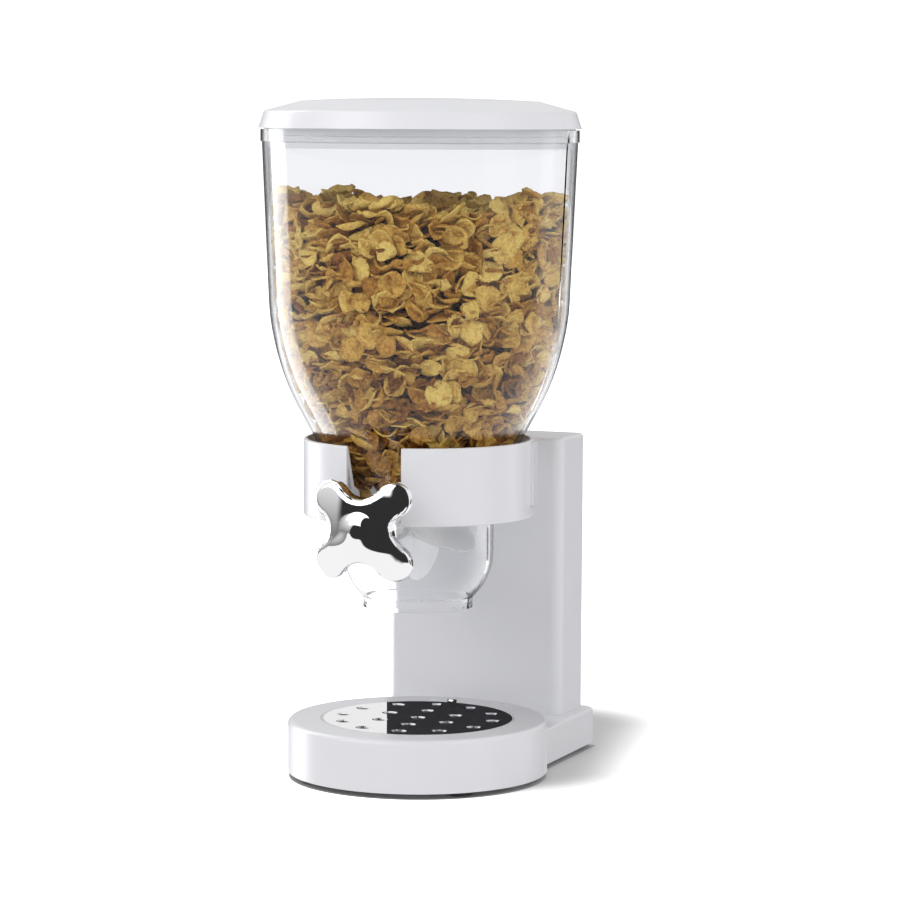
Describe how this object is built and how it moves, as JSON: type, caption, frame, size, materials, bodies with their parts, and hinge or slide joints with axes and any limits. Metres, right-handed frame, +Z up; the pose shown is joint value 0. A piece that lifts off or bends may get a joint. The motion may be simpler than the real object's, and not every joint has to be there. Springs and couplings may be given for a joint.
{
  "type": "cereal dispenser",
  "caption": "Clear flared canister with a paddle wheel and four-lobed knob, held in a slotted collar on a column above a round base with a perforated crumb tray.",
  "frame": {"origin": "on the surface the dispenser stands on, under the middle of its bounding box; the canister's upright axis is 17.8 mm in front of it", "axes": "+Z up; -Y is the front, where the knob and the collar's slot are; +X is the viewer's right when facing the front"},
  "size_m": [0.1828, 0.2184, 0.3872],
  "materials": {
    "white_plastic": "white, satin gloss",
    "clear_plastic": "clear, polished",
    "chrome": "mirror polished",
    "shaft_steel": "fine ground",
    "screw_steel": "zinc plated",
    "silicone": "translucent white, matte",
    "bearing_plastic": "white, matte",
    "foot_rubber": "dark, matte"
  },
  "bodies": {
    "stand": {"base_shell": "white_plastic", "base_bottom_cover": "white_plastic", "rubber_feet": "foot_rubber", "base_cover_screws": "screw_steel", "column_shell": "white_plastic", "column_back_cover": "white_plastic", "column_cover_screws": "screw_steel", "column_base_screws": "screw_steel", "collar_saddle": "white_plastic", "canister_collar": "white_plastic", "saddle_screws": "screw_steel", "collar_screws": "screw_steel"},
    "crumb_tray": {"crumb_tray": "white_plastic"},
    "tray_grille": {"tray_grille": "chrome"},
    "canister": {"canister": "clear_plastic", "front_shaft_bushing": "bearing_plastic", "rear_shaft_bushing": "bearing_plastic"},
    "paddle_wheel": {"paddle_hub": "bearing_plastic", "paddle_blades": "silicone"},
    "knob": {"knob": "chrome", "knob_shaft": "shaft_steel", "shaft_seal": "silicone"},
    "lid": {"lid_shell": "white_plastic", "lid_plug_ring": "white_plastic", "lid_seal": "silicone"}
  },
  "joints": [
    {"name": "tray_lift", "type": "slide", "parent": "stand", "child": "crumb_tray", "axis": [0, 0, 1], "range_m": [0, 0.035]},
    {"name": "grille_lift", "type": "slide", "parent": "crumb_tray", "child": "tray_grille", "axis": [0, 0, 1], "range_m": [0, 0.02]},
    {"name": "canister_lift", "type": "slide", "parent": "stand", "child": "canister", "axis": [0, 0, 1], "range_m": [0, 0.12]},
    {"name": "wheel_turn", "type": "hinge", "parent": "canister", "child": "paddle_wheel", "pos_m": [0, -0.0178, 0.15], "axis": [0, -1, 0], "continuous": true},
    {"name": "knob_pull", "type": "slide", "parent": "paddle_wheel", "child": "knob", "axis": [0, -1, 0], "range_m": [0, 0.105]},
    {"name": "lid_lift", "type": "slide", "parent": "canister", "child": "lid", "axis": [0, 0, 1], "range_m": [0, 0.06]}
  ]
}
